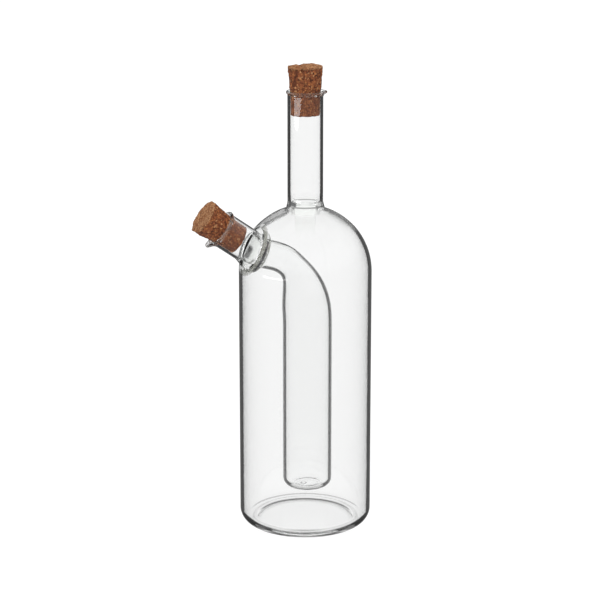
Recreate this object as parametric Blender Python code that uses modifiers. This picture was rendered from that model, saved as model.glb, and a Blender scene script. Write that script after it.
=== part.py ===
"""Oil and vinegar bottle, lampworked from clear borosilicate tubing.

A tall bottle with a domed shoulder holds the oil and pours from its neck. A smaller tube for the
vinegar is sealed inside it: it hangs free of the floor, bends over in an elbow and comes out
through the shoulder as a short leaning spout. Each mouth is shut by a tapered cork.

Metres, +Z up. The origin is the middle of the flat base. The spout leans towards -X, and the
neck's pouring lip points to +X.
"""

import math

import bpy
from mathutils import Vector

# Outer vessel, the oil bottle
BODY_RADIUS = 0.0350
BODY_WALL = 0.0018
FLOOR_THICKNESS = 0.0026
HEEL_RADIUS = 0.0076
INNER_HEEL_RADIUS = 0.0053
SHOULDER_Z = 0.1386

# Neck and the weld that joins it to the dome
NECK_BORE_RADIUS = 0.00775
NECK_WALL = 0.00155
NECK_LENGTH = 0.0587
NECK_FILLET_RADIUS = 0.0045
MOUTH_FLARE_RADIUS = 0.0070

# Rims: a fire-polished bead, with the bore opening out below it
RIM_BEAD_RADIUS = 0.0009
RIM_FLARE = 0.00045
RIM_DEPTH = 0.0026

# Pouring lips pulled out of the rims
NECK_LIP_REACH = 0.0015
NECK_LIP_DROP = 0.0004
SPOUT_LIP_REACH = 0.0020
SPOUT_LIP_RISE = 0.0010
LIP_DEPTH = 0.0045
LIP_HALF_ANGLE = math.radians(36)

# Seal ring, the thick weld where spout, dome and elbow meet
SEAL_ELEVATION = math.radians(25.1)
SEAL_WIDTH = 0.0027
SEAL_RISE = 0.0033
SEAL_DROP = 0.0030
SEAL_SINK = 0.0019
SEAL_TOP_ROUND = 0.0012
SEAL_UNDER_ROUND = 0.0026

# Spout
SPOUT_TILT = math.radians(35.4)
SPOUT_BORE_RADIUS = 0.00775
SPOUT_WALL = 0.0014
SPOUT_LENGTH = 0.0227
SPOUT_SEAT = 0.0009

# Vinegar tube: elbow and chamber
ELBOW_TILT = math.radians(20)
ELBOW_RADIUS = 0.0077
ELBOW_SEAT = 0.0023
ELBOW_LEAD = 0.0015
ELBOW_ENTRY_HANDLE = 0.0058
ELBOW_RISE_HANDLE = 0.0379
ELBOW_DROP = 0.0317
ELBOW_TAIL = 0.0020
ELBOW_TAPER_SHARES = (0.51, 0.935)
CHAMBER_RADIUS = 0.0130
CHAMBER_OFFSET = 0.0012
CHAMBER_FOOT_Z = 0.0195
CHAMBER_CORNER_RADIUS = 0.0049
INNER_WALL = 0.0016
SEAL_OFF_RADIUS = 0.0016
SEAL_OFF_HEIGHT = 0.0010

# Corks
CORK_LENGTH = 0.0246
NECK_CORK_DEPTH = 0.0122
SPOUT_CORK_DEPTH = 0.0130
CORK_FLARE = 0.00105
CORK_TAPER = 0.0002
CORK_CHAMFER = 0.0005

# Clearances
WELD_GAP = 0.0003
CORK_CLEARANCE = 0.0003
CUT_OVERRUN = 0.0060

# Roundness
VESSEL_SIDES = 48
TUBE_SIDES = 32
ELBOW_STATIONS = 22
ELBOW_RESOLUTION = 12
ARC_STEP = math.radians(12)
MERGE_DISTANCE = 0.00001
SHARP_ANGLE = math.radians(35)

# Colours
GLASS_COLOUR = (0.90, 0.93, 0.92, 1.0)
GLASS_ROUGHNESS = 0.02
GLASS_IOR = 1.47
CORK_COLOUR = (0.37, 0.15, 0.06, 1.0)
CORK_ROUGHNESS = 0.85

# Worked out from the sizes above
NECK_RADIUS = NECK_BORE_RADIUS + NECK_WALL
SPOUT_RADIUS = SPOUT_BORE_RADIUS + SPOUT_WALL
INNER_BODY_RADIUS = BODY_RADIUS - BODY_WALL
FILLET_REACH = math.sqrt((BODY_RADIUS + NECK_FILLET_RADIUS) ** 2 - (NECK_RADIUS + NECK_FILLET_RADIUS) ** 2)
NECK_FOOT_Z = SHOULDER_Z + FILLET_REACH
FILLET_SHARE = BODY_RADIUS / (BODY_RADIUS + NECK_FILLET_RADIUS)
MOUTH_Z = SHOULDER_Z + FILLET_REACH * FILLET_SHARE
MOUTH_RADIUS = (NECK_RADIUS + NECK_FILLET_RADIUS) * FILLET_SHARE
MOUTH_DROP = NECK_FOOT_Z - MOUTH_Z
MOUTH_BORE_RADIUS = NECK_BORE_RADIUS + MOUTH_FLARE_RADIUS - math.sqrt(MOUTH_FLARE_RADIUS**2 - MOUTH_DROP**2)
SEAL_RADIUS = SPOUT_RADIUS + SEAL_WIDTH
SEAL_REACH = math.sqrt((BODY_RADIUS - BODY_WALL / 2) ** 2 - SEAL_RADIUS**2) - SEAL_SINK
ELBOW_FOOT_Z = SHOULDER_Z - ELBOW_DROP


def clear_scene():
    """Removes every object that the file opened with."""
    for obj in list(bpy.data.objects):
        bpy.data.objects.remove(obj)


def new_collection(name):
    collection = bpy.data.collections.new(name)
    bpy.context.scene.collection.children.link(collection)
    return collection


def add_object(name, data, collection, parent=None, location=(0, 0, 0)):
    obj = bpy.data.objects.new(name, data)
    collection.objects.link(obj)
    obj.parent = parent
    obj.location = location
    return obj


def glass(name):
    """Clear colourless borosilicate."""
    material = bpy.data.materials.new(name)
    material.use_nodes = True
    shader = material.node_tree.nodes["Principled BSDF"]
    shader.inputs["Base Color"].default_value = GLASS_COLOUR
    shader.inputs["Roughness"].default_value = GLASS_ROUGHNESS
    shader.inputs["Metallic"].default_value = 0
    shader.inputs["IOR"].default_value = GLASS_IOR
    shader.inputs["Transmission Weight"].default_value = 1
    return material


def cork(name):
    """Pressed cork granules."""
    material = bpy.data.materials.new(name)
    material.use_nodes = True
    shader = material.node_tree.nodes["Principled BSDF"]
    shader.inputs["Base Color"].default_value = CORK_COLOUR
    shader.inputs["Roughness"].default_value = CORK_ROUGHNESS
    shader.inputs["Metallic"].default_value = 0
    return material


def arc(centre, radius, start, end):
    """Points along an arc in the XZ plane, both ends included."""
    count = max(2, math.ceil(abs(end - start) / ARC_STEP))
    points = []
    for step in range(count + 1):
        angle = start + (end - start) * step / count
        points.append((centre[0] + radius * math.cos(angle), centre[1] + radius * math.sin(angle)))
    return points


def turned(name, outline, sides, collection, closed=True, parent=None):
    """An outline of (radius, height) points turned about the object's own Z axis.

    The outline runs down the outer side, top to bottom.
    """
    edges = [(i, i + 1) for i in range(len(outline) - 1)]
    if closed:
        edges.append((len(outline) - 1, 0))
    mesh = bpy.data.meshes.new(name)
    mesh.from_pydata([(radius, 0, height) for radius, height in outline], edges, [])
    obj = add_object(name, mesh, collection, parent)
    screw = obj.modifiers.new("Turn", "SCREW")
    screw.axis = "Z"
    screw.angle = math.tau
    screw.steps = sides
    screw.render_steps = sides
    screw.use_merge_vertices = True
    screw.merge_threshold = MERGE_DISTANCE
    return obj


def as_cutter(obj):
    obj.hide_render = True
    obj.display_type = "WIRE"
    return obj


def cut(obj, cutter):
    boolean = obj.modifiers.new("Cut " + cutter.name, "BOOLEAN")
    boolean.operation = "DIFFERENCE"
    boolean.solver = "EXACT"
    boolean.object = cutter


def finish(obj, material):
    """Turns an object's modifiers into its mesh, shades it smooth and gives it its material."""
    bpy.context.view_layer.update()
    evaluated = obj.evaluated_get(bpy.context.evaluated_depsgraph_get())
    mesh = bpy.data.meshes.new_from_object(evaluated)
    obj.modifiers.clear()
    obj.data = mesh
    mesh.name = obj.name
    mesh.shade_smooth()
    mesh.set_sharp_from_angle(angle=SHARP_ANGLE)
    mesh.materials.clear()
    mesh.materials.append(material)


def smooth_fall(distance, span):
    """1 at no distance, easing to 0 at span."""
    share = min(abs(distance) / span, 1)
    return 1 - share * share * (3 - 2 * share)


def pull_lip(obj, top, side, reach, rise):
    """Pulls a pouring lip out of a finished rim, towards side, which is +1 or -1 along local X."""
    for vertex in obj.data.vertices:
        x, y, z = vertex.co
        angle = math.atan2(y, side * x)
        pull = smooth_fall(top - z, LIP_DEPTH) * smooth_fall(angle, LIP_HALF_ANGLE)
        radius = math.hypot(x, y)
        vertex.co = Vector((x, y, 0)) * (1 + reach * pull / radius) + Vector((0, 0, z + rise * pull))


def tube_outline(bore, wall, foot, top):
    """Wall of a straight tube whose top is opened a little and melted to a round bead."""
    bead = (bore + RIM_FLARE + RIM_BEAD_RADIUS, top - RIM_BEAD_RADIUS)
    points = arc(bead, RIM_BEAD_RADIUS, math.pi, -math.pi / 4)
    points += [
        (bore + wall, top - RIM_DEPTH),
        (bore + wall, foot),
        (bore, foot),
        (bore, top - RIM_DEPTH),
    ]
    return points


def cork_outline(bore, depth):
    """Tapered cork. Height 0 is the top of the rim that it is pushed into."""
    inner = bore - CORK_CLEARANCE
    mouth = inner + RIM_FLARE
    outer = mouth + CORK_FLARE
    top = CORK_LENGTH - depth
    tip = inner - CORK_TAPER
    return [
        (0, top),
        (outer - CORK_CHAMFER, top),
        (outer, top - CORK_CHAMFER),
        (mouth, -RIM_BEAD_RADIUS),
        (inner, -RIM_DEPTH),
        (tip, CORK_CHAMFER - depth),
        (tip - CORK_CHAMFER, -depth),
        (0, -depth),
    ]


def make_outer_vessel(parts, hole_cutter):
    """Flat floor, rounded heel, straight wall and a half-sphere shoulder with two openings."""
    inner_heel = (INNER_BODY_RADIUS - INNER_HEEL_RADIUS, FLOOR_THICKNESS + INNER_HEEL_RADIUS)
    heel = (BODY_RADIUS - HEEL_RADIUS, HEEL_RADIUS)
    dome = (0, SHOULDER_Z)
    inner_top = math.acos(MOUTH_BORE_RADIUS / INNER_BODY_RADIUS)
    outer_top = math.acos(MOUTH_RADIUS / BODY_RADIUS)
    outline = [(0, FLOOR_THICKNESS)]
    outline += arc(inner_heel, INNER_HEEL_RADIUS, -math.pi / 2, 0)
    outline += arc(dome, INNER_BODY_RADIUS, 0, inner_top)
    outline += [(MOUTH_BORE_RADIUS, MOUTH_Z), (MOUTH_RADIUS, MOUTH_Z)]
    outline += arc(dome, BODY_RADIUS, outer_top, 0)[1:]
    outline += arc(heel, HEEL_RADIUS, 0, -math.pi / 2)
    outline += [(0, 0)]
    vessel = turned("outer_vessel", outline, VESSEL_SIDES, parts, closed=False)
    cut(vessel, hole_cutter)
    finish(vessel, glass("vessel_glass"))


def make_neck(parts):
    """Weld fillet on top of the dome, and the neck tube that stands on it."""
    fillet = (NECK_RADIUS + NECK_FILLET_RADIUS, NECK_FOOT_Z)
    fillet_end = math.pi + math.acos((NECK_RADIUS + NECK_FILLET_RADIUS) / (BODY_RADIUS + NECK_FILLET_RADIUS))
    flare = (NECK_BORE_RADIUS + MOUTH_FLARE_RADIUS, NECK_FOOT_Z)
    flare_end = math.pi + math.asin(MOUTH_DROP / MOUTH_FLARE_RADIUS)
    outline = arc(fillet, NECK_FILLET_RADIUS, math.pi, fillet_end)
    outline[-1] = (MOUTH_RADIUS, MOUTH_Z)
    outline += [(MOUTH_BORE_RADIUS, MOUTH_Z)]
    outline += arc(flare, MOUTH_FLARE_RADIUS, flare_end, math.pi)[1:]
    collar = turned("neck_collar", outline, TUBE_SIDES, parts)
    finish(collar, glass("collar_glass"))

    top = NECK_FOOT_Z + NECK_LENGTH
    neck = turned("neck_tube", tube_outline(NECK_BORE_RADIUS, NECK_WALL, NECK_FOOT_Z, top), TUBE_SIDES, parts)
    finish(neck, glass("neck_glass"))
    pull_lip(neck, top, 1, NECK_LIP_REACH, -NECK_LIP_DROP)


def make_seal_ring(parts, seal_axis, sockets):
    """Thick weld ring. It fills the hole in the dome and has a socket for each tube."""
    top_round = (SEAL_RADIUS - SEAL_TOP_ROUND, SEAL_RISE - SEAL_TOP_ROUND)
    under_round = (SEAL_RADIUS - SEAL_UNDER_ROUND, SEAL_UNDER_ROUND - SEAL_DROP)
    outline = [(0, SEAL_RISE)]
    outline += arc(top_round, SEAL_TOP_ROUND, math.pi / 2, 0)
    outline += arc(under_round, SEAL_UNDER_ROUND, 0, -math.pi / 2)
    outline += [(0, -SEAL_DROP)]
    ring = turned("spout_seal_ring", outline, TUBE_SIDES, parts, closed=False, parent=seal_axis)
    ring.location.z = SEAL_REACH
    for cutter in sockets:
        cut(ring, cutter)
    finish(ring, glass("seal_glass"))


def make_spout(parts, spout_axis):
    """Short tube from the seal ring out to the spout's rim."""
    top = SPOUT_SEAT + SPOUT_LENGTH
    outline = tube_outline(SPOUT_BORE_RADIUS, SPOUT_WALL, SPOUT_SEAT, top)
    spout = turned("spout_tube", outline, TUBE_SIDES, parts, parent=spout_axis)
    finish(spout, glass("spout_glass"))
    pull_lip(spout, top, -1, SPOUT_LIP_REACH, SPOUT_LIP_RISE)


def bezier_point(ends, share):
    """Point at a share of a cubic Bezier curve given by its four control points."""
    rest = 1 - share
    weights = (rest**3, 3 * rest**2 * share, 3 * rest * share**2, share**3)
    return sum((weight * end for weight, end in zip(weights, ends)), Vector())


def make_elbow(parts, elbow_axis):
    """Bent tube that runs inward from the seal ring and swells as it turns down into the chamber."""
    bpy.context.view_layer.update()
    inward = -(elbow_axis.matrix_world.to_quaternion() @ Vector((0, 0, 1)))
    mouth = elbow_axis.matrix_world.translation + inward * ELBOW_SEAT
    start = mouth + inward * ELBOW_LEAD
    foot = Vector((CHAMBER_OFFSET, 0, ELBOW_FOOT_Z))
    tail = foot + Vector((0, 0, ELBOW_TAIL))
    ends = (start, start + inward * ELBOW_ENTRY_HANDLE, tail + Vector((0, 0, ELBOW_RISE_HANDLE)), tail)

    stations = [(mouth, ELBOW_RADIUS)]
    taper_start, taper_end = ELBOW_TAPER_SHARES
    for step in range(ELBOW_STATIONS + 1):
        share = step / ELBOW_STATIONS
        narrow = smooth_fall(max(share - taper_start, 0), taper_end - taper_start)
        radius = CHAMBER_RADIUS + (ELBOW_RADIUS - CHAMBER_RADIUS) * narrow
        stations.append((bezier_point(ends, share), radius))
    stations.append((foot, CHAMBER_RADIUS))

    curve = bpy.data.curves.new("inner_elbow", "CURVE")
    curve.dimensions = "3D"
    curve.bevel_depth = CHAMBER_RADIUS
    curve.bevel_resolution = ELBOW_RESOLUTION
    spline = curve.splines.new("POLY")
    spline.points.add(len(stations) - 1)
    for point, (place, radius) in zip(spline.points, stations):
        point.co = (*place, 1)
        point.radius = radius / CHAMBER_RADIUS
    guide = add_object("elbow_guide", curve, parts)
    bpy.context.view_layer.update()
    skin = bpy.data.meshes.new_from_object(guide.evaluated_get(bpy.context.evaluated_depsgraph_get()))
    bpy.data.objects.remove(guide)

    elbow = add_object("inner_elbow", skin, parts)
    solidify = elbow.modifiers.new("Wall", "SOLIDIFY")
    solidify.thickness = INNER_WALL
    solidify.offset = -1
    solidify.use_even_offset = True
    finish(elbow, glass("elbow_glass"))


def make_chamber(parts):
    """Round-cornered vinegar tube that hangs below the elbow, with a small seal-off point."""
    bore = CHAMBER_RADIUS - INNER_WALL
    top = ELBOW_FOOT_Z - WELD_GAP
    corner = (CHAMBER_RADIUS - CHAMBER_CORNER_RADIUS, CHAMBER_FOOT_Z + CHAMBER_CORNER_RADIUS)
    nub = (0, CHAMBER_FOOT_Z)
    outline = [(0, CHAMBER_FOOT_Z + INNER_WALL)]
    outline += arc(corner, CHAMBER_CORNER_RADIUS - INNER_WALL, -math.pi / 2, 0)
    outline += [(bore, top), (CHAMBER_RADIUS, top)]
    outline += arc(corner, CHAMBER_CORNER_RADIUS, 0, -math.pi / 2)
    nub_share = SEAL_OFF_HEIGHT / SEAL_OFF_RADIUS
    for radius, height in arc(nub, SEAL_OFF_RADIUS, 0, -math.pi / 2):
        outline.append((radius, CHAMBER_FOOT_Z + (height - CHAMBER_FOOT_Z) * nub_share))
    outline[-1] = (0, CHAMBER_FOOT_Z - SEAL_OFF_HEIGHT)
    chamber = turned("inner_chamber", outline, TUBE_SIDES, parts, closed=False)
    chamber.location.x = CHAMBER_OFFSET
    finish(chamber, glass("chamber_glass"))


def make_corks(parts, spout_axis):
    neck_outline = cork_outline(NECK_BORE_RADIUS, NECK_CORK_DEPTH)
    neck_cork = turned("neck_cork", neck_outline, TUBE_SIDES, parts, closed=False)
    neck_cork.location.z = NECK_FOOT_Z + NECK_LENGTH
    finish(neck_cork, cork("neck_cork_granules"))

    spout_outline = cork_outline(SPOUT_BORE_RADIUS, SPOUT_CORK_DEPTH)
    spout_cork = turned("spout_cork", spout_outline, TUBE_SIDES, parts, closed=False, parent=spout_axis)
    spout_cork.location.z = SPOUT_SEAT + SPOUT_LENGTH
    finish(spout_cork, cork("spout_cork_granules"))


def make_cutters(cutters, seal_axis, spout_axis, elbow_axis):
    """Hole in the dome, and the sockets and bore of the seal ring."""
    hole_radius = SEAL_RADIUS + WELD_GAP
    hole = [
        (0, CUT_OVERRUN),
        (hole_radius, CUT_OVERRUN),
        (hole_radius, -CUT_OVERRUN),
        (0, -CUT_OVERRUN),
    ]
    dome_hole = turned("dome_hole", hole, TUBE_SIDES, cutters, closed=False, parent=seal_axis)
    dome_hole.location.z = SEAL_REACH

    socket_floor = SPOUT_SEAT - WELD_GAP
    socket_radius = SPOUT_RADIUS + WELD_GAP
    spout_socket = [
        (0, CUT_OVERRUN),
        (socket_radius, CUT_OVERRUN),
        (socket_radius, socket_floor),
        (SPOUT_BORE_RADIUS, socket_floor),
        (SPOUT_BORE_RADIUS, 0),
        (0, 0),
    ]
    outer_socket = turned("spout_socket", spout_socket, TUBE_SIDES, cutters, closed=False, parent=spout_axis)

    elbow_bore = ELBOW_RADIUS - INNER_WALL
    elbow_floor = WELD_GAP - ELBOW_SEAT
    elbow_radius = ELBOW_RADIUS + WELD_GAP
    elbow_socket = [
        (0, SEAL_RISE),
        (elbow_bore, SEAL_RISE),
        (elbow_bore, elbow_floor),
        (elbow_radius, elbow_floor),
        (elbow_radius, -CUT_OVERRUN),
        (0, -CUT_OVERRUN),
    ]
    inner_socket = turned("elbow_socket", elbow_socket, TUBE_SIDES, cutters, closed=False, parent=elbow_axis)
    for cutter in (dome_hole, outer_socket, inner_socket):
        as_cutter(cutter)
    return dome_hole, (outer_socket, inner_socket)


def main():
    clear_scene()
    parts = new_collection("oil_and_vinegar_bottle")
    cutters = new_collection("cutters")
    seal_axis = add_object("seal_axis", None, cutters, location=(0, 0, SHOULDER_Z))
    seal_axis.rotation_euler.y = SEAL_ELEVATION - math.pi / 2
    seal_centre = Vector((-math.cos(SEAL_ELEVATION), 0, math.sin(SEAL_ELEVATION))) * SEAL_REACH
    seal_centre += Vector((0, 0, SHOULDER_Z))
    spout_axis = add_object("spout_axis", None, cutters, location=seal_centre)
    spout_axis.rotation_euler.y = SPOUT_TILT - math.pi / 2
    elbow_axis = add_object("elbow_axis", None, cutters, location=seal_centre)
    elbow_axis.rotation_euler.y = ELBOW_TILT - math.pi / 2

    dome_hole, sockets = make_cutters(cutters, seal_axis, spout_axis, elbow_axis)
    make_outer_vessel(parts, dome_hole)
    make_neck(parts)
    make_seal_ring(parts, seal_axis, sockets)
    make_spout(parts, spout_axis)
    make_elbow(parts, elbow_axis)
    make_chamber(parts)
    make_corks(parts, spout_axis)


main()
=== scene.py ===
"""Oil and vinegar bottle in clear lampworked glass, with two pressed-cork stoppers.

The whole glass is one fused piece, as on the real bottle: the outer vessel is spun from its half
section, the vinegar vessel is swept up its own bent line, and the two are joined where the ring
seal melts through the shoulder. Metres, +Z up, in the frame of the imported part.
"""

import math

import bpy
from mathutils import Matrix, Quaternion, Vector


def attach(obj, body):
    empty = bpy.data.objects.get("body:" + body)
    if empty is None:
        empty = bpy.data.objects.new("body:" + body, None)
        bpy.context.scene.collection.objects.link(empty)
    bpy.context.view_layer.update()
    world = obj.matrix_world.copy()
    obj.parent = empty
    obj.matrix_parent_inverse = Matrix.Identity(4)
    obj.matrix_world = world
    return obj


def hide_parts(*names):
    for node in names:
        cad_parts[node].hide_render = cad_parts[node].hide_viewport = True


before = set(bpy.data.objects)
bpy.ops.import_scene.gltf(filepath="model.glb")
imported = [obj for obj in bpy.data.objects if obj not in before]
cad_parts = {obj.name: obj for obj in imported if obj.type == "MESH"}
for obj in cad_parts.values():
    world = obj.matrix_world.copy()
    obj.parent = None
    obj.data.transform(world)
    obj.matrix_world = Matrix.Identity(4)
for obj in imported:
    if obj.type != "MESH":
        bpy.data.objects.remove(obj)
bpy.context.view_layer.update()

# Outer vessel
BODY_RADIUS = 0.0350
BODY_WALL = 0.0018
INNER_BODY_RADIUS = BODY_RADIUS - BODY_WALL
FLOOR_THICKNESS = 0.0026
PUSH_UP = 0.0006
HEEL_RADIUS = 0.0076
INNER_HEEL_RADIUS = 0.0053
SHOULDER_Z = 0.1386

# Neck
NECK_BORE = 0.00775
NECK_RADIUS = 0.0093
NECK_TOP_Z = 0.23431
RIM_BEAD = 0.0009
RIM_FLARE = 0.00045
RIM_DEPTH = 0.0026
# How far below and above a rim's depth its rows are closer, to carry the pulled lip
FINE_BELOW = 0.0024
FINE_ABOVE = 0.0006

# Pouring lips: how far they are drawn and how far the glass round them follows
NECK_LIP_PULL = (0.0017, 0, -0.0003)
NECK_LIP_REACH = 0.0030
SPOUT_LIP_OUT = 0.0012
SPOUT_LIP_DOWN = 0.0022
SPOUT_LIP_REACH = 0.0032
LIP_GRIP_DEPTH = 0.0012
LIP_GRIP_EDGE = 0.0010

# The weld at the neck's foot, as radius and height from the tube down to the dome
WELD_OUTSIDE = (
    (0.00930, 0.17640), (0.00935, 0.17600), (0.00945, 0.17555), (0.00961, 0.17490), (0.00981, 0.17420),
    (0.01002, 0.17340), (0.01025, 0.17270), (0.01060, 0.17215), (0.01110, 0.17180), (0.01180, 0.17152),
    (0.01250, 0.17129),
)
WELD_INSIDE = (
    (0.00775, 0.17720), (0.00770, 0.17665), (0.00761, 0.17610), (0.00759, 0.17570), (0.00766, 0.17520),
    (0.00775, 0.17470), (0.00774, 0.17415), (0.00778, 0.17365), (0.00797, 0.17300), (0.00836, 0.17225),
    (0.00890, 0.17150), (0.00950, 0.17085), (0.01030, 0.17016),
)

# Vinegar vessel. A tilt is the lean of a ring about Y, from lying flat
SEAL_TILT = math.radians(25.1 - 90)
SPOUT_TILT = math.radians(35.4 - 90)
ELBOW_TILT = math.radians(20 - 90)
SEAL_CENTRE = Vector((-0.02723, 0, 0.15136))
SEAL_RADIUS = 0.01150
SEAL_MIDDLE = 0.0110
SPOUT_BORE = 0.00775
SPOUT_RADIUS = 0.00915
SPOUT_TOP = 0.0236
ELBOW_RADIUS = 0.0077
CHAMBER_RADIUS = 0.0130
CHAMBER_X = 0.0012
CHAMBER_FOOT_Z = 0.0195
CHAMBER_CORNER = 0.0049
INNER_WALL = 0.0016
ELBOW_TAIL_Z = 0.1089
ELBOW_ENTRY = 0.0058
ELBOW_RISE = 0.0379
ELBOW_SWELL = (0.51, 0.935)
ELBOW_ROWS = 30

# Rings near the seal, as radius, height above the seal's centre along the lean, and tilt in degrees
ELBOW_MOUTH = ((0.0065, -0.0050, -69), (0.0069, -0.0037, -67.5))
THROAT = (
    (0.0071, -0.0024, -66), (0.0073, -0.0010, -64), (0.0076, 0.0006, -61),
    (SPOUT_BORE, 0.0022, -58), (SPOUT_BORE, 0.0037, -56),
)
SPOUT_ROOT = (
    (0.00922, 0.0065, -56), (0.00940, 0.0056, -58), (0.00970, 0.0048, -61), (0.01010, 0.0041, -63.5),
)
ELBOW_ROOT = ((0.0083, -0.0047, -67.5),)
ELBOW_DEPTH = 0.0062
THROAT_TOP = 0.0052
SPOUT_FOOT = 0.0074
SEAL_CORNER = 0.0028
DRILL_MARGIN = 0.0007

# A ring as narrow as this closes to a point when its piece's skin is merged
POLE = 0.000004
MERGE_DISTANCE = 0.00001

# Corks, as length, depth below the rim and top radius. Then their radii in the bore and just over the rim,
# and how far over the rim the second one is
NECK_CORK = (0.0256, 0.0127, 0.0091)
SPOUT_CORK = (0.0236, 0.0123, 0.0095)
CORK_SNUG = 0.0077
CORK_AT_RIM = 0.0082
CORK_FREE = 0.0006

# A little under the 1.47 of borosilicate, so that the dark edges come out as wide as in the photograph
GLASS_IOR = 1.41

# Studio levels, where 1 is white
ROOM_IN_FRONT = 0.62
ROOM_BEHIND = 0.18
ROOM_IN_FACE = 0.20
ROOM_IN_HOLLOW = 0.95
# The table as the glass shows it, painted with shade: a little darker right under the glass, a dim level
# under it for light led inside a wall, and a painted contact shadow under the heel
TABLE_UNDER_GLASS = 0.92
DIM_UNDER_GLASS = 0.62
CONTACT_SHADE = 0.72
DARK_SIDES = 0.04
PALE_BAND = 0.80

CAMERA_TURN = math.radians(18)

# Fixed directions: towards the side that the photograph shows, which is where the camera stands, and
# across it, to the right in the photograph. They lay out the marks on the glass, the room's light and
# the table's shade, and they stay put when the bottle is seen from elsewhere
TO_CAMERA = Vector((-math.sin(CAMERA_TURN), -math.cos(CAMERA_TURN), 0))
ACROSS = Vector((math.cos(CAMERA_TURN), -math.sin(CAMERA_TURN), 0))
UP = Vector((0, 0, 1))

# Places on the glass: marks that the flame and the tools leave, clear places, and a line and spots of painted
# shade
WELD_Z = 0.1728
WELD_SHADE_LINE_Z = 0.1743
WELD_SHADE_Z = 0.1755
# THROAT_SHADE and WELD_SHADE are the centres of spots of painted shade
THROAT_SHADE = Vector((-0.0341, -0.0085, 0.1531))
FORK = Vector((-0.0350, -0.0015, 0.1462))
WELD_SHADE = Vector((-0.0084, -0.0041, WELD_SHADE_Z))
STREAK = Vector((-0.0150, 0.0040, 0.1680))
RIGHT_SHOULDER = ACROSS * 0.0185 + UP * 0.1683
FOOT_SCAR = Vector((0.0032, -0.0070, CHAMBER_FOOT_Z + 0.0006))
SEAL_OFF = Vector((CHAMBER_X - 0.0018, 0.0009, CHAMBER_FOOT_Z))
# Dents in the weld and the shoulder, as place, grip, pull and reach
TOOL_MARKS = (
    (Vector((-0.0085, -0.0047, 0.1749)), 0.0006, (-0.0005, -0.0003, -0.0003), 0.0015),
    (Vector((-0.0180, 0.0052, 0.1660)), 0.0018, (0.0004, -0.0001, -0.0006), 0.0090),
    (Vector((-0.0125, 0.0030, 0.1691)), 0.0018, (0.0003, -0.0001, -0.0009), 0.0070),
)

VESSEL_STEPS = 144
TUBE_STEPS = 96
CORK_STEPS = 168


# Modelling helpers


def clear_selection():
    bpy.ops.object.select_all(action="DESELECT")


def arc(centre, radius, start, end, count):
    """Points on an arc of a half section, both ends included, angles in degrees."""
    points = []
    for i in range(count + 1):
        angle = math.radians(start + (end - start) * i / count)
        points.append((centre[0] + radius * math.cos(angle), centre[1] + radius * math.sin(angle)))
    return points


def rows(start, end, count):
    """Points on a straight run, without its first point."""
    return [
        (start[0] + (end[0] - start[0]) * i / count, start[1] + (end[1] - start[1]) * i / count)
        for i in range(1, count + 1)
    ]


def spin_section(name, section, steps):
    """Draws a half section of (radius, height) as a string of edges and spins it round the Z axis."""
    clear_selection()
    bpy.ops.mesh.primitive_plane_add(size=0.001, location=(0, 0, 0))
    piece = bpy.context.object
    piece.name = name
    bpy.ops.object.mode_set(mode="EDIT")
    bpy.ops.mesh.merge(type="CENTER")
    bpy.ops.transform.translate(value=(section[0][0], 0, section[0][1]))
    for here, there in zip(section, section[1:]):
        step = (there[0] - here[0], 0, there[1] - here[1])
        bpy.ops.mesh.extrude_vertices_move(TRANSFORM_OT_translate={"value": step})
    bpy.ops.mesh.select_all(action="SELECT")
    bpy.ops.mesh.spin(steps=steps, angle=math.tau, center=(0, 0, 0), axis=(0, 0, 1))
    close_skin()
    bpy.ops.object.mode_set(mode="OBJECT")
    return piece


def sweep_rings(name, rings, steps):
    """Extrudes a circle from ring to ring. A ring is its centre, its tilt about Y and its radius."""
    clear_selection()
    centre, tilt, radius = rings[0]
    bpy.ops.mesh.primitive_circle_add(vertices=steps, radius=radius, location=(0, 0, 0))
    piece = bpy.context.object
    piece.name = name
    bpy.ops.object.mode_set(mode="EDIT")
    bpy.ops.transform.rotate(value=-tilt, orient_axis="Y", center_override=(0, 0, 0))
    bpy.ops.transform.translate(value=centre)
    for here, there in zip(rings, rings[1:]):
        bpy.ops.mesh.extrude_edges_move(TRANSFORM_OT_translate={"value": there[0] - here[0]})
        grow = there[2] / here[2]
        bpy.ops.transform.resize(value=(grow, grow, grow), center_override=there[0])
        if there[1] != here[1]:
            bpy.ops.transform.rotate(value=here[1] - there[1], orient_axis="Y", center_override=there[0])
    close_skin()
    bpy.ops.object.mode_set(mode="OBJECT")
    return piece


def close_skin():
    """Merges the seam and the poles and turns the faces outwards."""
    bpy.ops.mesh.select_all(action="SELECT")
    bpy.ops.mesh.remove_doubles(threshold=MERGE_DISTANCE)
    bpy.ops.mesh.select_all(action="SELECT")
    bpy.ops.mesh.normals_make_consistent(inside=False)


def select_points(piece, wanted):
    """Selects a piece's vertices by their place, ready for edit mode."""
    for edge in piece.data.edges:
        edge.select = False
    for face in piece.data.polygons:
        face.select = False
    for vertex in piece.data.vertices:
        vertex.select = wanted(vertex.co)


def pull_softly(piece, wanted, pull, reach):
    """Pulls the wanted vertices with a soft grip, for a pouring lip, a dent or a drawn mark."""
    clear_selection()
    bpy.context.view_layer.objects.active = piece
    piece.select_set(True)
    bpy.ops.object.mode_set(mode="EDIT")
    bpy.ops.mesh.select_mode(type="VERT")
    bpy.ops.mesh.select_all(action="DESELECT")
    bpy.ops.object.mode_set(mode="OBJECT")
    select_points(piece, wanted)
    bpy.ops.object.mode_set(mode="EDIT")
    bpy.ops.transform.translate(
        value=pull, use_proportional_edit=True, proportional_edit_falloff="SMOOTH", proportional_size=reach
    )
    bpy.ops.object.mode_set(mode="OBJECT")


def around(place, reach):
    """Picks the vertices within reach of a place."""
    return lambda p: (p - place).length < reach


def apply_modifiers(piece):
    clear_selection()
    bpy.context.view_layer.objects.active = piece
    piece.select_set(True)
    for modifier in list(piece.modifiers):
        bpy.ops.object.modifier_apply(modifier=modifier.name)


# Glass


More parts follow.
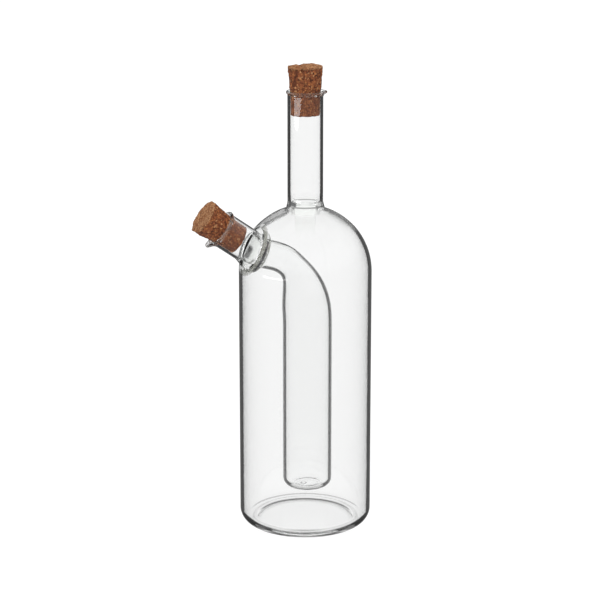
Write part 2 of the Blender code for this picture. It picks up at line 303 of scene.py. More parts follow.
def outer_vessel_section():
    """Underside, heel, wall, dome, neck, rim, bore, and back down the inside to the floor."""
    heel = (BODY_RADIUS - HEEL_RADIUS, HEEL_RADIUS)
    inner_heel = (INNER_BODY_RADIUS - INNER_HEEL_RADIUS, FLOOR_THICKNESS + INNER_HEEL_RADIUS)
    dome = (0, SHOULDER_Z)
    dome_top = math.degrees(math.acos(WELD_OUTSIDE[-1][0] / BODY_RADIUS))
    inner_top = math.degrees(math.acos(WELD_INSIDE[-1][0] / INNER_BODY_RADIUS))
    bead = (NECK_BORE + RIM_FLARE + RIM_BEAD, NECK_TOP_Z - RIM_BEAD)
    fine_from = NECK_TOP_Z - RIM_DEPTH - FINE_BELOW
    fine_to = NECK_TOP_Z - RIM_DEPTH + FINE_ABOVE

    section = [(0, PUSH_UP)] + rows((0, PUSH_UP), (0.0235, PUSH_UP), 8)
    section += [(0.0247, 0.00050), (0.0256, 0.00030), (0.0263, 0.00010), (0.0269, 0)]
    section += arc(heel, HEEL_RADIUS, -90, 0, 16)
    section += rows((BODY_RADIUS, HEEL_RADIUS), (BODY_RADIUS, SHOULDER_Z), 16)
    section += arc(dome, BODY_RADIUS, 0, dome_top, 30)[1:]
    section += [(radius, height) for radius, height in reversed(WELD_OUTSIDE[:-1])]
    section += rows((NECK_RADIUS, WELD_OUTSIDE[0][1]), (NECK_RADIUS, fine_from), 8)
    section += rows((NECK_RADIUS, fine_from), (NECK_RADIUS, fine_to), 6)
    section += arc(bead, RIM_BEAD, -45, 180, 12)
    section += rows((NECK_BORE, fine_to), (NECK_BORE, fine_from), 6)
    section += rows((NECK_BORE, fine_from), WELD_INSIDE[0], 8)
    section += WELD_INSIDE[1:]
    section += arc(dome, INNER_BODY_RADIUS, inner_top, 0, 30)[1:]
    section += rows((INNER_BODY_RADIUS, SHOULDER_Z), (INNER_BODY_RADIUS, inner_heel[1]), 16)
    section += arc(inner_heel, INNER_HEEL_RADIUS, 0, -90, 14)[1:]
    section += [(0.0276, 0.00278), (0.0272, 0.00296), (0.0268, 0.00300), (0.0263, 0.00284), (0.0257, 0.00260)]
    section += rows((0.0257, FLOOR_THICKNESS), (0, FLOOR_THICKNESS), 8)
    return section


def facing(tilt):
    """The axis of a ring with this tilt."""
    return Vector((math.sin(tilt), 0, math.cos(tilt)))


def elbow_rings():
    """Centres, tilts and outer radii up the bend, from the chamber to the ring seal."""
    inward = -facing(ELBOW_TILT)
    mouth = SEAL_CENTRE + inward * ELBOW_DEPTH
    tail = Vector((CHAMBER_X, 0, ELBOW_TAIL_Z))
    grips = (tail, tail + Vector((0, 0, ELBOW_RISE)), mouth + inward * ELBOW_ENTRY, mouth)
    legs = [there - here for here, there in zip(grips, grips[1:])]
    rings = []
    for i in range(ELBOW_ROWS + 1):
        t = i / ELBOW_ROWS
        u = 1 - t
        place = grips[0] * u**3 + grips[1] * (3 * u * u * t) + grips[2] * (3 * u * t * t) + grips[3] * t**3
        run = legs[0] * (u * u) + legs[1] * (2 * u * t) + legs[2] * (t * t)
        share = min(max((u - ELBOW_SWELL[0]) / (ELBOW_SWELL[1] - ELBOW_SWELL[0]), 0), 1)
        swell = share * share * (3 - 2 * share)
        radius = ELBOW_RADIUS + (CHAMBER_RADIUS - ELBOW_RADIUS) * swell
        rings.append((place, math.atan2(run.x, run.z), radius))
    return rings


def leaning(points, tilt):
    """Rings of one tilt on the spout's line, from their radii and heights above the seal's centre."""
    return [(SEAL_CENTRE + facing(tilt) * height, tilt, radius) for radius, height in points]


def turning(points):
    """The same for rings that each have a tilt of their own, in degrees."""
    rings = []
    for radius, height, degrees in points:
        rings += leaning([(radius, height)], math.radians(degrees))
    return rings


def throat_rings():
    """The bore through the ring seal."""
    return turning(THROAT) + leaning([(SPOUT_BORE, THROAT_TOP)], SPOUT_TILT)


def drill_rings():
    """A plug a little wider than the throat, closed at both ends, that opens the shoulder for it."""
    wide = [(centre, tilt, radius + DRILL_MARGIN) for centre, tilt, radius in throat_rings()]
    wide += leaning([(SPOUT_BORE + DRILL_MARGIN, 0.0090)], SPOUT_TILT)
    return [(*wide[0][:2], POLE)] + wide + [(*wide[-1][:2], POLE)]


def vinegar_vessel_rings():
    """Up the bore from the chamber's floor, over the spout's rim, and down the outside to the seal-off."""

    def upright(points):
        return [(Vector((CHAMBER_X, 0, height)), 0, max(radius, POLE)) for radius, height in points]

    corner = (CHAMBER_RADIUS - CHAMBER_CORNER, CHAMBER_FOOT_Z + CHAMBER_CORNER)
    floor = CHAMBER_FOOT_Z + INNER_WALL
    bore = CHAMBER_RADIUS - INNER_WALL
    tube_top = ELBOW_TAIL_Z - 0.004
    bead = (SPOUT_BORE + RIM_FLARE + RIM_BEAD, SPOUT_TOP - RIM_BEAD)
    bend = elbow_rings()
    fine_from = SPOUT_TOP - RIM_DEPTH - FINE_BELOW
    fine_to = SPOUT_TOP - RIM_DEPTH + FINE_ABOVE
    rings = upright([(0, floor)] + rows((0, floor), (0.0066, floor), 5))
    rings += upright([(0.0070, floor + 0.00020), (0.0074, floor + 0.00034), (0.0078, floor + 0.00026)])
    rings += upright(arc(corner, CHAMBER_CORNER - INNER_WALL, -86, 0, 10))
    rings += upright(rows((bore, corner[1]), (bore, tube_top), 10))
    rings += [(place, tilt, radius - INNER_WALL) for place, tilt, radius in bend]
    rings += turning(ELBOW_MOUTH)
    rings += throat_rings()
    spout = rows((SPOUT_BORE, THROAT_TOP), (SPOUT_BORE, fine_from), 6)
    spout += rows((SPOUT_BORE, fine_from), (SPOUT_BORE, fine_to), 6)
    spout += arc(bead, RIM_BEAD, 180, -45, 12)
    spout += rows((SPOUT_RADIUS, fine_to), (SPOUT_RADIUS, fine_from), 6)
    spout += rows((SPOUT_RADIUS, fine_from), (SPOUT_RADIUS, SPOUT_FOOT), 6)
    rings += leaning(spout, SPOUT_TILT)
    rings += turning(SPOUT_ROOT)
    seal = [(0.0106, 0.0035), (0.0111, 0.0029), (0.01138, 0.0022)]
    seal += [(SEAL_RADIUS, 0.0014), (SEAL_RADIUS, 0.0002)]
    seal += arc((SEAL_RADIUS - SEAL_CORNER, -0.0012), SEAL_CORNER, 0, -75, 8)
    rings += leaning(seal, SEAL_TILT)
    rings += turning(ELBOW_ROOT)
    rings += reversed(bend)
    rings += upright(rows((CHAMBER_RADIUS, tube_top), (CHAMBER_RADIUS, corner[1]), 10))
    rings += upright(arc(corner, CHAMBER_CORNER, 0, -90, 14)[1:])
    rings += upright(rows((corner[0], CHAMBER_FOOT_Z), (0, CHAMBER_FOOT_Z), 14))
    return rings


def blow_bottle():
    """Joins the two vessels, draws their lips and leaves the small marks of the flame."""
    bottle = spin_section("glass_bottle", outer_vessel_section(), VESSEL_STEPS)
    vinegar = sweep_rings("vinegar_vessel", vinegar_vessel_rings(), TUBE_STEPS)
    pull_softly(
        bottle,
        lambda p: p.z > NECK_TOP_Z - LIP_GRIP_DEPTH and p.x > NECK_RADIUS - LIP_GRIP_EDGE
        and abs(p.y) < 0.0010,
        NECK_LIP_PULL, NECK_LIP_REACH,
    )
    outward = facing(SPOUT_TILT)
    down = Vector((-outward.z, 0, outward.x))
    lip_line = SEAL_CENTRE + outward * SPOUT_TOP
    pull_softly(
        vinegar,
        lambda p: (p - lip_line).dot(outward) > -LIP_GRIP_DEPTH
        and (p - lip_line).dot(down) > SPOUT_RADIUS - LIP_GRIP_EDGE and abs(p.y) < 0.0012,
        down * SPOUT_LIP_DOWN + outward * SPOUT_LIP_OUT, SPOUT_LIP_REACH,
    )
    pull_softly(vinegar, around(SEAL_OFF, 0.0006), (0, 0, -0.0014), 0.0013)
    for place, grip, pull, reach in TOOL_MARKS:
        pull_softly(bottle, around(place, grip), pull, reach)
    drill = sweep_rings("drill", drill_rings(), TUBE_STEPS)
    for tool, operation in ((drill, "DIFFERENCE"), (vinegar, "UNION")):
        step = bottle.modifiers.new(operation, "BOOLEAN")
        step.operation = operation
        step.solver = "EXACT"
        step.object = tool
        apply_modifiers(bottle)
        bpy.data.objects.remove(tool)
    bpy.ops.object.shade_smooth()
    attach(bottle, "bottle")
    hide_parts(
        "outer_vessel", "neck_collar", "neck_tube", "spout_seal_ring", "spout_tube", "inner_elbow",
        "inner_chamber",
    )
    return bottle


# Corks


def granule_texture(name, kind, scale):
    texture = bpy.data.textures.new(name, kind)
    texture.noise_scale = scale
    return texture


def rough_up(piece, name, texture, strength, middle, group):
    """Lifts and sinks a surface by a texture, most where its group holds it loosest."""
    lift = piece.modifiers.new(name, "DISPLACE")
    lift.texture = texture
    lift.texture_coords = "LOCAL"
    lift.strength = strength
    lift.mid_level = middle
    lift.vertex_group = group


def press_cork(name, measures, tilt, rim, wear):
    """A tapered stopper of pressed granules, from its length, depth below the rim and top radius.

    Wear is a list of dents: which vertices, pull and reach.
    """
    length, depth, wide = measures
    top = length - depth
    bottom = -depth
    foot = (CORK_SNUG - 0.0001, bottom + 0.00035)
    squeezed = (CORK_SNUG, -RIM_DEPTH)
    free = (CORK_AT_RIM, CORK_FREE)
    section = [(POLE, bottom)] + rows((0, bottom), (CORK_SNUG - 0.0008, bottom), 20)
    section += [(CORK_SNUG - 0.0004, bottom + 0.00008), foot]
    section += rows(foot, squeezed, 34) + rows(squeezed, free, 12) + rows(free, (wide, top - 0.0005), 42)
    section += [(wide - 0.0001, top - 0.0002), (wide - 0.0004, top - 0.00005)]
    section += rows((wide - 0.0004, top), (POLE, top), 26)
    axis = facing(tilt)
    rings = [(rim + axis * height, tilt, max(radius, POLE)) for radius, height in section]
    cork = sweep_rings(name, rings, CORK_STEPS)
    for wanted, pull, reach in wear:
        pull_softly(cork, wanted, pull, reach)

    loose = cork.vertex_groups.new(name="loose")
    for vertex in cork.data.vertices:
        above = (vertex.co - rim).dot(axis)
        outside = 0.15 + 0.85 * min(max((above + 0.0015) / 0.0025, 0), 1)
        underside = 0.9 * min(max((bottom + 0.0012 - above) / 0.001, 0), 1)
        loose.add([vertex.index], max(outside, underside), "REPLACE")
    granules = granule_texture("granules", "VORONOI", 0.0010)
    granules.weight_1 = -1
    granules.weight_2 = 1
    chips = granule_texture("chips", "CLOUDS", 0.0024)
    chips.noise_depth = 4
    rough_up(cork, "Granules", granules, 0.00034, 0.45, loose.name)
    rough_up(cork, "Chips", chips, 0.0010, 0.52, loose.name)
    apply_modifiers(cork)
    bpy.ops.object.shade_smooth()
    return cork


# Materials


class Value:
    """A socket that can be used in a sum, which adds the Math nodes for it."""

    def __init__(self, finish, socket):
        self.finish = finish
        self.socket = socket

    def maths(self, operation, *terms):
        return self.finish.node("Math", {"operation": operation}, dict(enumerate(terms)))

    def __add__(self, other):
        return self.maths("ADD", self, other)

    def __radd__(self, other):
        return self.maths("ADD", other, self)

    def __sub__(self, other):
        return self.maths("SUBTRACT", self, other)

    def __rsub__(self, other):
        return self.maths("SUBTRACT", other, self)

    def __mul__(self, other):
        return self.maths("MULTIPLY", self, other)

    def __rmul__(self, other):
        return self.maths("MULTIPLY", other, self)

    def __truediv__(self, other):
        return self.maths("DIVIDE", self, other)

    def __rtruediv__(self, other):
        return self.maths("DIVIDE", other, self)

    def __pow__(self, other):
        return self.maths("POWER", self, other)

    def remainder(self, other):
        return self.maths("MODULO", self, other)

    def unsigned(self):
        return self.maths("ABSOLUTE", self)

    def dot(self, direction):
        return self.finish.node("VectorMath", {"operation": "DOT_PRODUCT"}, {0: self, 1: direction}, "Value")

    def length(self):
        return self.finish.node("VectorMath", {"operation": "LENGTH"}, {0: self}, "Value")

    def away_from(self, point):
        return self.finish.node("VectorMath", {"operation": "SUBTRACT"}, {0: self, 1: point})

    def from_ring(self, centre, axis, radius):
        """How far a place is from a ring, given by its centre, axis and radius."""
        out = self.away_from(centre)
        along = out.dot(axis)
        across = (out.dot(out) - along * along).most(0) ** 0.5 - radius
        return (across * across + along * along) ** 0.5

    def greater(self, other):
        return self.maths("GREATER_THAN", self, other)

    def most(self, other):
        return self.maths("MAXIMUM", self, other)

    def least(self, other):
        return self.maths("MINIMUM", self, other)


class Finish:
    """A tree of nodes, for a material or for the world."""

    def __init__(self, owner):
        owner.use_nodes = True
        self.owner = owner
        self.tree = owner.node_tree
        self.tree.nodes.clear()

    def node(self, kind, settings=None, values=None, result=0):
        """Adds one node. Its settings go first, then the values or links of its sockets."""
        made = self.tree.nodes.new("ShaderNode" + kind)
        for setting, choice in (settings or {}).items():
            if setting == "stops":
                self.set_stops(made.color_ramp, choice)
            else:
                setattr(made, setting, choice)
        for socket, value in (values or {}).items():
            if isinstance(value, Value):
                self.tree.links.new(value.socket, made.inputs[socket])
            else:
                made.inputs[socket].default_value = value
        return Value(self, made.outputs[result]) if len(made.outputs) else made

    @staticmethod
    def set_stops(ramp, stops):
        while len(ramp.elements) > 1:
            ramp.elements.remove(ramp.elements[-1])
        for i, (place, colour) in enumerate(stops):
            stop = ramp.elements[0] if i == 0 else ramp.elements.new(place)
            stop.position = place
            stop.color = (*colour, 1)

    def ease(self, value, low, high, at_low=0, at_high=1):
        """Eases from at_low to at_high as value goes from low to high."""
        return self.node(
            "MapRange", {"interpolation_type": "SMOOTHSTEP"},
            {0: value, 1: low, 2: high, 3: at_low, 4: at_high},
        )

    def band(self, place, ring, near, far, most=1):
        """A mask along a ring: most up to the near distance from it, and none beyond the far one."""
        return self.ease(place.from_ring(*ring), near, far, most, 0)

    def spot(self, place, centre, near, far, most=1):
        """The same mask round a point."""
        return self.ease(place.away_from(centre).length(), near, far, most, 0)

    def noise(self, place, scale, detail, roughness):
        return self.node(
            "TexNoise", values={"Vector": place, "Scale": scale, "Detail": detail, "Roughness": roughness}
        )

    def blend(self, share, first, second, mode="MIX"):
        """Mixes two colours."""
        return self.node(
            "Mix", {"data_type": "RGBA", "blend_type": mode, "clamp_factor": True},
            {0: share, 6: first, 7: second}, result=2,
        )

    def mix(self, share, first, second):
        """Mixes two shaders."""
        return self.node("MixShader", values={0: share, 1: first, 2: second})


def rgb(red, green, blue):
    return (red, green, blue, 1)


def ring_on_axis(height, radius):
    """A ring round the bottle's axis, as its centre, its axis and its radius."""
    return UP * height, UP, radius


def ring_on_lean(height, radius, tilt):
    """The same round the spout's or the seal's axis, its height counted from the seal's centre."""
    return SEAL_CENTRE + facing(tilt) * height, facing(tilt), radius


def seal_marks(finish, place, seeds, patches):
    """Masks for the ring seal: its melted glass, its cloud and painted shade, a stripe of painted shade,
    clear places and a band of painted shade.

    The side towards TO_CAMERA is cloudy, partly seedy glass and partly painted shade, with patches of painted
    shade and clear patches along a stripe.
    The valley above it, the far side, the throat and the fork below are clear.
    """
    ahead = place.away_from(SEAL_CENTRE).dot(TO_CAMERA)
    front = finish.ease(ahead, -0.0040, 0.0030, 0.1, 1)
    melted = finish.band(place, ring_on_lean(-0.0009, SEAL_MIDDLE, SEAL_TILT), 0.0026, 0.0034)
    stripe = finish.band(place, ring_on_lean(-0.0014, 0.0117, SEAL_TILT), 0.0006, 0.0011) * front
    # Painted shade: dark patches along the stripe
    painted_shade_stripe = stripe * finish.ease(patches, 0.49, 0.55)
    clear_stripe = stripe * finish.ease(patches, 0.40, 0.47, 0.9, 0)
    # A grey cloud over the melted glass on the side towards TO_CAMERA, partly seedy glass and partly painted
    # shade
    cloud_and_shade = finish.ease(seeds, 0.44, 0.58, 0.45, 0.97) * front * (1 - clear_stripe)
    cloud_and_shade = melted * cloud_and_shade.most(painted_shade_stripe * 0.8)

    valley = finish.band(place, ring_on_lean(0.0044, 0.0094, SEAL_TILT), 0.0026, 0.0036, 0.96)
    valley = valley * finish.ease(ahead, 0.0035, 0.0060)
    far_side = finish.band(place, ring_on_lean(-0.0008, 0.0096, SEAL_TILT), 0.0040, 0.0050, 0.97)
    far_side = far_side * finish.ease(ahead, -0.0040, -0.0005, 1, 0)
    throat = finish.band(place, ring_on_lean(-0.0004, 0.0072, SEAL_TILT), 0.0014, 0.0026, 0.6)
    fork = finish.spot(place, FORK, 0.0022, 0.0040, 0.85)
    clear = clear_stripe.most(valley).most(far_side).most(throat).most(fork)

    # Painted shade: a dark band in the throat, round THROAT_SHADE
    shade = finish.band(place, ring_on_lean(0.0064, 0.0088, SEAL_TILT), 0.0009, 0.0025)
    shade = shade * finish.spot(place, THROAT_SHADE, 0.0026, 0.0052, 0.95)
    return melted, cloud_and_shade, painted_shade_stripe, clear, shade


def neck_marks(finish, place):
    """Masks for the neck's weld and the shoulder round it: clear places, painted shade and the weld's dark
    line of painted shade.

    Clear are the weld's middle, the shoulder behind it, a streak to its left and the shoulder to
    its right, as the photograph's side shows them.
    """
    rise = place.dot(UP)
    aside = place.dot(ACROSS).unsigned()
    weld = finish.band(place, ring_on_axis(WELD_Z, NECK_RADIUS), 0.0030, 0.0046)
    weld = weld * finish.ease(aside, 0.0058, 0.0082, 0.95, 0.05)
    behind = finish.ease(rise, 0.1480, 0.1580, 0, 0.97) * finish.ease(rise, 0.1745, 0.1770, 1, 0)
    behind = behind * finish.ease(place.dot(TO_CAMERA), -0.0145, -0.0105, 1, 0)
    behind = behind * finish.ease(aside, 0.0055, 0.0057, 1, 0)
    streak = finish.spot(place, STREAK, 0.0060, 0.0110, 0.35)
    right = finish.spot(place, RIGHT_SHOULDER, 0.0070, 0.0130, 0.45)
    clear = weld.most(behind).most(streak).most(right)

    # Painted shade: a dark band under the weld, round WELD_SHADE
    shade = finish.band(place, ring_on_axis(WELD_SHADE_Z, 0.0090), 0.0010, 0.0016)
    shade = shade * finish.spot(place, WELD_SHADE, 0.0022, 0.0034)
    # A thin dark line round the weld, painted shade
    weld_shade_line = finish.band(place, ring_on_axis(WELD_SHADE_LINE_Z, 0.0098), 0.0002, 0.0006)
    return clear, shade, weld_shade_line


def foot_marks(finish, place):
    """Masks for the foot: the heel's front, which is clear, and dark lines of painted shade along the floor's
    edge and the heel.
    """
    ahead = place.dot(TO_CAMERA)
    clear = finish.ease(ahead, 0.0245, 0.0300, 0, 0.75) * finish.ease(place.dot(UP), 0.003, 0.006, 1, 0)
    # Painted shade: thin dark rings at the floor's edge and at the heel
    floor_edge_shade = finish.band(place, ring_on_axis(FLOOR_THICKNESS, 0.0277), 0.0004, 0.0009, 0.9)
    floor_edge_shade = floor_edge_shade * finish.ease(ahead, -0.0250, -0.0220, 1, 0.2)
    heel_shade_line = finish.band(place, ring_on_axis(0.0034, 0.0303), 0.0003, 0.0006, 0.6)
    heel_shade_line = heel_shade_line * finish.ease(ahead, -0.0160, -0.0060, 1, 0)
    return clear, floor_edge_shade.most(heel_shade_line)


def rim_marks(finish, place):
    """Masks for both rims, most where they face the eye, and for the painted highlight on the spout's rim."""
    spout = facing(SPOUT_TILT)
    lip = SEAL_CENTRE + spout * (SPOUT_TOP + 0.0004) + Vector((-spout.z, 0, spout.x)) * 0.0105
    neck_rim = place.from_ring(*ring_on_axis(NECK_TOP_Z - RIM_BEAD, 0.0088))
    spout_rim = place.from_ring(*ring_on_lean(SPOUT_TOP - RIM_BEAD, 0.0086, SPOUT_TILT))
    edge_on = finish.node("LayerWeight", values={0: 0.5}, result="Facing")
    rims = finish.ease(neck_rim.least(spout_rim), 0.0010, 0.0016, 1, 0)
    rims = rims.most(finish.spot(place, lip, 0.0014, 0.0024)) * finish.ease(edge_on, 0.35, 0.85, 0.92, 0.20)
    return rims, finish.ease(spout_rim, 0.0006, 0.0011, 0.22, 0.03)


def clear_glass(name, tint):
    """Clear fire-polished glass, whose shadow is let through as pale grey, as thin glass does.

    Closely bent glass turns black under ray tracing where it looks clear, so parts of the seal, the
    neck's weld, the shoulder, the heel and the rims let light straight through, and a few lines
    and spots are painted dark as painted shade. The rims carry a white matt painted highlight, and the
    seal a grey veil that is partly its seedy glass and partly painted shade. All of them are laid out by
    their places on the glass and, where the side towards TO_CAMERA and the far one differ, by that
    fixed direction.
    """
    finish = Finish(bpy.data.materials.new(name))
    place = finish.node("TexCoord", result="Object")
    ripple = finish.noise(place, 60, 1, 0.4)
    seeds = finish.noise(place, 900, 3, 0.6)
    patches = finish.noise(place, 210, 1, 0.4)
    melted, cloudy_and_shaded, painted_shade_stripe, seal_clear, seal_shade = seal_marks(finish, place, seeds, patches)
    neck_clear, neck_shade, weld_shade_line = neck_marks(finish, place)
    foot_clear, foot_shade_lines = foot_marks(finish, place)
    rims, spout_painted_highlight = rim_marks(finish, place)
    foot_scar = finish.spot(place, FOOT_SCAR, 0.0020, 0.0038)
    # All the painted shade of the seal's throat and the neck's weld
    shade = seal_shade.most(neck_shade)
    # Where the glass's colour is painted near black: lines and spots of painted shade
    painted_shade_marks = foot_shade_lines.most(shade * 0.97).most(weld_shade_line * 0.85).most(painted_shade_stripe * 0.9)
    clear = neck_clear.most(foot_clear).most(seal_clear) * (1 - shade) * (1 - weld_shade_line * 0.95)

    height = ripple + seeds * (melted * 0.35 + foot_scar * 0.30)
    wave = finish.node("Bump", values={"Strength": 0.02, "Distance": 0.002, "Height": height})
    glass = finish.node(
        "BsdfPrincipled",
        values={
            "Base Color": finish.blend(painted_shade_marks, tint, rgb(0.02, 0.02, 0.022)),
            "Roughness": 0.0, "IOR": GLASS_IOR, "Transmission Weight": 1.0, "Normal": wave,
        },
    )
    through = finish.node("BsdfTransparent", values={0: rgb(0.965, 0.97, 0.965)})
    painted_highlight = finish.node("BsdfDiffuse", values={0: rgb(0.85, 0.86, 0.84)})
    # Grey and near-black matt for the seal: its cloud with painted shade, and the stripe of painted shade
    cloud_and_shade = finish.node("BsdfDiffuse", values={0: rgb(0.33, 0.335, 0.30)})
    painted_dark_shade = finish.node("BsdfDiffuse", values={0: rgb(0.07, 0.07, 0.08)})
    surface = finish.mix(clear, glass, through)
    # The rims are veiled with straight-through light and a white matt painted highlight, the spout's rim most
    surface = finish.mix(rims, surface, finish.mix(spout_painted_highlight, through, painted_highlight))
    surface = finish.mix(cloudy_and_shaded, surface, finish.mix(painted_shade_stripe * 0.9, cloud_and_shade, painted_dark_shade))
    passing = finish.node("BsdfTransparent", values={0: rgb(0.97, 0.97, 0.97)})
    in_shadow = finish.node("LightPath", result="Is Shadow Ray")
    finish.node("OutputMaterial", values={0: finish.mix(in_shadow, surface, passing)})
    return finish.owner


def cork_granules(name, rim, tilt, top):
    """Pressed granules: each has its own brown, with dark binder between them and a few pits.

    The top end is paler than the side, with granules of its own. The part inside the glass is painted a
    little paler: painted light, for the light that the glass takes from it.
    """
    finish = Finish(bpy.data.materials.new(name))
    place = finish.node("TexCoord", result="Object")
    warp = finish.node("TexNoise", values={"Vector": place, "Scale": 700, "Detail": 2}, result=1)
    bent = finish.node("VectorMath", {"operation": "MULTIPLY_ADD"}, {0: warp, 1: (0.0005,) * 3, 2: place})
    cells = finish.node("TexVoronoi", values={"Vector": bent, "Scale": 1050, "Randomness": 1}, result=1)
    pick = finish.node("SeparateColor", values={0: cells}, result=0)
    shade = finish.node("SeparateColor", values={0: cells}, result=1)
    gap = finish.node("TexVoronoi", {"feature": "DISTANCE_TO_EDGE"}, {"Vector": bent, "Scale": 1050})
    grain = finish.noise(place, 3500, 4, 0.6)
    above = place.away_from(rim).dot(facing(tilt))
    paler_top_end = finish.ease(above, top - 0.0013, top - 0.0008, 0, 0.85)
    # Painted light: the part inside the glass is lightened, for the light that the glass takes from it
    squeezed = finish.ease(above, -0.0030, 0.0006, 0.14, 0)
    brown = finish.node(
        "ValToRGB",
        {
            "stops": [
                (0.0, (0.10, 0.030, 0.015)),
                (0.3, (0.20, 0.060, 0.024)),
                (0.6, (0.30, 0.095, 0.036)),
                (0.85, (0.41, 0.146, 0.048)),
                (1.0, (0.50, 0.250, 0.115)),
            ]
        },
        {0: pick},
    )
    tan = finish.node(
        "ValToRGB", {"stops": [(0.1, (0.20, 0.078, 0.032)), (0.9, (0.56, 0.305, 0.150))]}, {0: shade}
    )
    dust = finish.node("ValToRGB", {"stops": [(0.3, (0.35,) * 3), (0.7, (0.75,) * 3)]}, {0: grain})
    colour = finish.blend(paler_top_end, brown, tan)
    colour = finish.blend(0.55, colour, dust, "OVERLAY")
    colour = finish.blend(finish.ease(gap, 0.0, 0.12, 0.65, 0), colour, rgb(0.055, 0.018, 0.009))
    pits = finish.ease(grain * shade, 0.42, 0.5, 0, 0.6)
    colour = finish.blend(pits, colour, rgb(0.045, 0.015, 0.008))
    colour = finish.blend(squeezed, colour, rgb(0.55, 0.26, 0.17))
    relief = finish.ease(gap, 0.0, 0.15, 0, 0.6) + grain * 0.6 - pits * 0.5
    bump = finish.node("Bump", values={"Strength": 0.7, "Distance": 0.0003, "Height": relief})
    surface = finish.node(
        "BsdfPrincipled",
        values={
            "Base Color": colour, "Roughness": 0.82 + grain * 0.12, "Specular IOR Level": 0.35,
            "Normal": bump,
        },
    )
    finish.node("OutputMaterial", values={0: surface})
    return finish.owner


# Studio


def ray_kinds(finish):
    """Sorts rays by what they met: matt things, a mirroring face, a wall's inside, or its hollow side.

    Light that has turned is told apart by the faces it crossed, counted in fours: two or three stand
    for a turn inside a wall, and none or one for a glance off a wall from the hollow.
    """
    matt = finish.node("LightPath", result="Diffuse Depth").least(1)
    face = finish.node("LightPath", result="Is Reflection Ray") * (1 - matt)
    turned = finish.node("LightPath", result="Glossy Depth").least(1) * (1 - matt) * (1 - face)
    crossed = finish.node("LightPath", result="Transmission Depth").remainder(4)
    in_wall = crossed.greater(1.5) * turned
    in_hollow = turned - in_wall
    return matt, face, in_wall, in_hollow


def light_world():
    """A bright field. Glass seen straight through shows white, and its face mirrors a dim room.

    Light that a wall leads round inside itself comes from dark sides, or from a paler band above
    them, and that draws the dark edges.
    """
    world = bpy.data.worlds.new("studio")
    bpy.context.scene.world = world
    finish = Finish(world)
    way = finish.node("TexCoord", result="Generated")
    rise = way.dot(UP)
    matt, face, in_wall, in_hollow = ray_kinds(finish)
    pale = finish.ease(rise, 0.0, 0.35) * finish.ease(rise, 0.6, 0.85, 1, 0.3)
    sides = DARK_SIDES + pale * (PALE_BAND - DARK_SIDES)
    straight = 1 - matt - face - in_wall - in_hollow
    room = finish.ease(way.dot(TO_CAMERA), -0.5, 0.8, ROOM_BEHIND, ROOM_IN_FRONT)
    level = matt * room + straight + face * ROOM_IN_FACE + in_wall * sides + in_hollow * ROOM_IN_HOLLOW
    finish.node("OutputWorld", values={0: finish.node("Background", values={0: rgb(1, 1, 1), 1: level})})
    world.cycles.sampling_method = "NONE"


def lay_floor():
    """A wide pale table that keeps the shadow and meets the white background. Seen through the glass its
    light and shade are painted: a little darker right under the glass, a painted contact shadow ring under
    the heel, and for light led inside a wall, a dim level under the bottle with a pale painted patch in
    front.
    """
    clear_selection()
    bpy.ops.mesh.primitive_plane_add(size=12, location=(0, 0, -0.0002))
    floor = bpy.context.object
    floor.name = "pale_floor"
    finish = Finish(bpy.data.materials.new("pale_floor"))
    place = finish.node("TexCoord", result="Object")
    away = place.length()
    ahead = place.dot(TO_CAMERA) / away
    matt, face, in_wall, in_hollow = ray_kinds(finish)
    table = finish.node("BsdfDiffuse", values={0: rgb(0.80, 0.80, 0.80)})
    thin_table = finish.node("BsdfDiffuse", values={0: rgb(0.24, 0.24, 0.24)})
    glow = finish.node("Emission", values={0: rgb(1, 1, 1), 1: finish.ease(away, 0.15, 1.5, 0.80, 0.95)})
    open_table = finish.node("AddShader", values={0: thin_table, 1: glow})
    # A painted contact shadow ring under the heel, strongest on the far side
    painted_contact_shadow = finish.ease(away, 0.0255, 0.0268) * finish.ease(away, 0.0282, 0.0300, CONTACT_SHADE, 0)
    painted_contact_shadow = painted_contact_shadow * finish.ease(ahead, -0.9, -0.3, 1, 0.1)
    # Painted shade: the table right under the glass a little darker, and darker still in the contact shadow
    # ring
    straight = finish.ease(away, 0.030, 0.050, TABLE_UNDER_GLASS, 1) - painted_contact_shadow
    # For light led inside a wall: a dim painted level under the bottle, dark round it, and a pale painted
    # patch of light in front
    sides = finish.ease(away, 0.021, 0.027, DIM_UNDER_GLASS, DARK_SIDES)
    sides = sides.most(finish.ease(ahead, 0.80, 0.95) * finish.ease(away, 0.050, 0.080, 0.75, 0))
    plain = 1 - face - in_wall - in_hollow
    in_glass = plain * straight + face * ROOM_IN_FACE + in_wall * sides + in_hollow * ROOM_IN_HOLLOW
    glass_view = finish.node("Emission", values={0: rgb(1, 1, 1), 1: in_glass})
    direct = finish.node("LightPath", result="Is Camera Ray")
    seen = finish.mix(direct, glass_view, open_table)
    finish.node("OutputMaterial", values={0: finish.mix(matt, seen, table)})
    finish.owner.cycles.emission_sampling = "NONE"
    floor.data.materials.append(finish.owner)


def hang_softbox(name, place, size, height, power, mirrored=False, roll=0):
    """A lamp aimed at the bottle. A mirrored one shows on the glass and lights nothing else."""
    lamp = bpy.data.lights.new(name, "AREA")
    lamp.shape = "RECTANGLE"
    lamp.size = size
    lamp.size_y = height
    lamp.energy = power
    obj = bpy.data.objects.new(name, lamp)
    bpy.context.scene.collection.objects.link(obj)
    obj.location = place
    aim = (Vector((0, 0, 0.15)) - Vector(place)).to_track_quat("-Z", "Y")
    obj.rotation_euler = (aim @ Quaternion((0, 0, 1), math.radians(roll))).to_euler()
    obj.visible_camera = False
    obj.visible_transmission = False
    obj.visible_glossy = mirrored
    obj.visible_diffuse = not mirrored


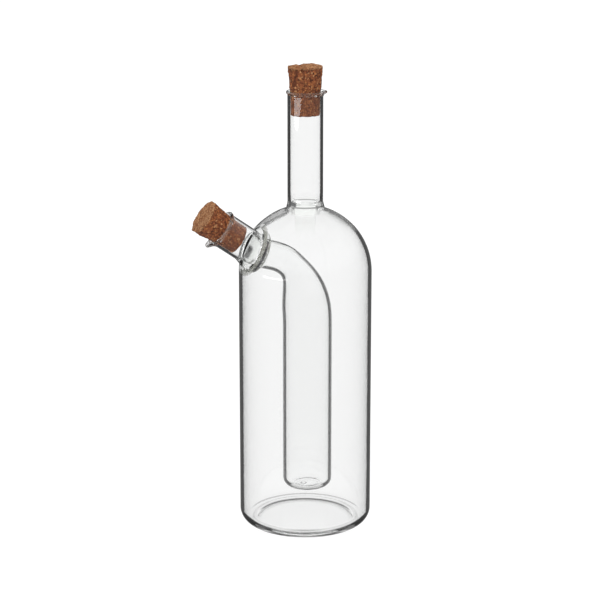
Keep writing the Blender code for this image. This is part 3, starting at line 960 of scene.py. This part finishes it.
def set_lights():
    hang_softbox("left_softbox", (-1.15, -0.85, 0.85), 0.9, 1.3, 9.5)
    hang_softbox("right_softbox", (1.20, -0.75, 0.65), 0.6, 1.2, 5)
    hang_softbox("top_softbox", (0.0, 0.15, 1.60), 1.6, 1.6, 21)
    hang_softbox("strip_softbox", (-0.843, -0.307, 0.077), 0.77, 0.044, 0.72, mirrored=True, roll=1.2)


def set_camera():
    """Where the photograph was taken from, a little to the left of the bottle's middle."""
    distance = 1.0884
    aside = 0.00276
    height = 0.412
    downward = math.radians(14.89)
    picture_pixels = 600
    focal_pixels = 2131
    sensor_mm = 36
    lens = bpy.data.cameras.new("camera")
    lens.lens = focal_pixels * sensor_mm / picture_pixels
    lens.clip_start = 0.05
    camera = bpy.data.objects.new("camera", lens)
    bpy.context.scene.collection.objects.link(camera)
    camera.location = TO_CAMERA * distance - ACROSS * aside + UP * height
    camera.rotation_euler = (math.pi / 2 - downward, 0, -CAMERA_TURN)
    bpy.context.scene.camera = camera


bottle = blow_bottle()
bottle.data.materials.clear()
bottle.data.materials.append(clear_glass("clear_glass", rgb(0.997, 0.999, 0.998)))

neck_rim = Vector((0, 0, NECK_TOP_Z))
spout_rim = SEAL_CENTRE + facing(SPOUT_TILT) * SPOUT_TOP
neck_cork = press_cork(
    "neck_cork_granules", NECK_CORK, 0, neck_rim,
    [
        (lambda p: p.z > 0.2465 and p.dot(ACROSS) < -0.0014, (0, 0, -0.0008), 0.0003),
        (around(Vector((-0.0040, -0.0076, 0.2463)), 0.0006), (0.0004, 0.0008, -0.0012), 0.0012),
        (around(Vector((-0.0006, 0.0080, 0.2463)), 0.0006), (0, -0.0004, -0.0008), 0.0014),
        (around(Vector((0.0060, -0.0060, 0.2470)), 0.0006), (-0.0002, 0.0002, -0.0004), 0.0022),
    ],
)
outward = facing(SPOUT_TILT)
spout_cork = press_cork(
    "spout_cork_granules", SPOUT_CORK, SPOUT_TILT, spout_rim,
    [
        (
            around(spout_rim + outward * 0.0109 + Vector((0.0046, -0.0040, 0.0065)), 0.0012),
            (0.0004, 0.0002, -0.0003), 0.0026,
        ),
        (
            around(spout_rim - outward * 0.0122 + Vector((0.0044, 0, 0.0061)), 0.0016),
            outward * 0.0009, 0.0095,
        ),
        (
            around(spout_rim + outward * 0.0112 + Vector((-0.0054, -0.0010, -0.0076)), 0.0010),
            (0.0009, 0.0001, 0.0002), 0.0036,
        ),
    ],
)
for cork, body, node, place in (
    (neck_cork, "oil_stopper", "neck_cork", (neck_rim, 0, NECK_CORK[0] - NECK_CORK[1])),
    (spout_cork, "vinegar_stopper", "spout_cork", (spout_rim, SPOUT_TILT, SPOUT_CORK[0] - SPOUT_CORK[1])),
):
    cork.data.materials.clear()
    cork.data.materials.append(cork_granules(cork.name, *place))
    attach(cork, body)
    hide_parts(node)

light_world()
lay_floor()
set_lights()
set_camera()

scene = bpy.context.scene
scene.view_settings.view_transform = "Standard"
scene.cycles.max_bounces = 32
scene.cycles.transmission_bounces = 32
scene.cycles.transparent_max_bounces = 32
scene.cycles.caustics_reflective = False
